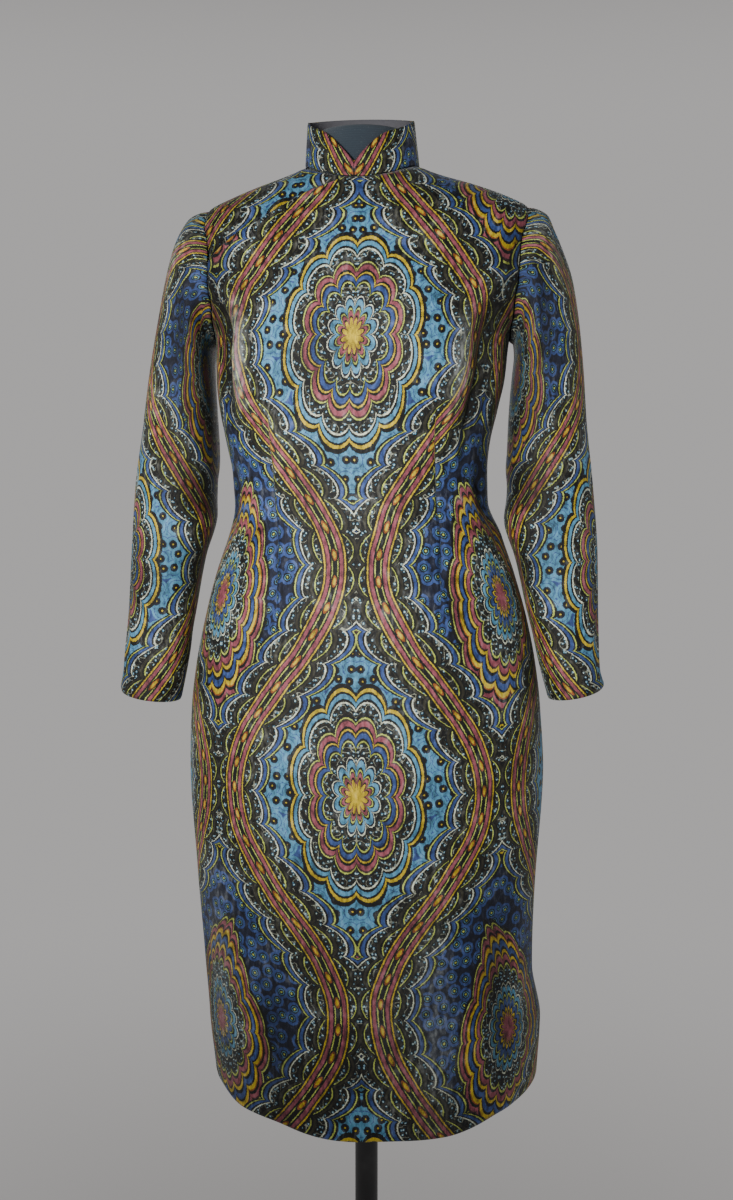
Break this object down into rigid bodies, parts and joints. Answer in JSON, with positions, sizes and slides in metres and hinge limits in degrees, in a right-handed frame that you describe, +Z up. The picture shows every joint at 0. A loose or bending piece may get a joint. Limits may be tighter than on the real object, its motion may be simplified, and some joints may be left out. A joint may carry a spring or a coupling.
{
  "type": "cheongsam dress on a limbless dress form",
  "caption": "Knee-length long-sleeved dress with a stand collar and side slits, hanging hollow on a smooth dress form with a neck, a post and a round base.",
  "frame": {"origin": "on the floor, at the centre of the underside of the stand's base plate", "axes": "+Z up, +X towards the wearer's left side, -Y the way the dress faces"},
  "size_m": [0.501, 0.34, 1.476],
  "materials": {
    "velvet": "printed velvet, short pile, soft sheen",
    "form_cloth": "dark smooth jersey cover",
    "painted_steel": "satin black"
  },
  "bodies": {
    "root": {"dress_front": "velvet", "dress_back": "velvet", "dress_underlap": "velvet", "sleeve_right": "velvet", "sleeve_left": "velvet", "collar": "velvet", "form_torso": "form_cloth", "stand_post": "painted_steel", "stand_base": "painted_steel"}
  },
  "joints": []
}
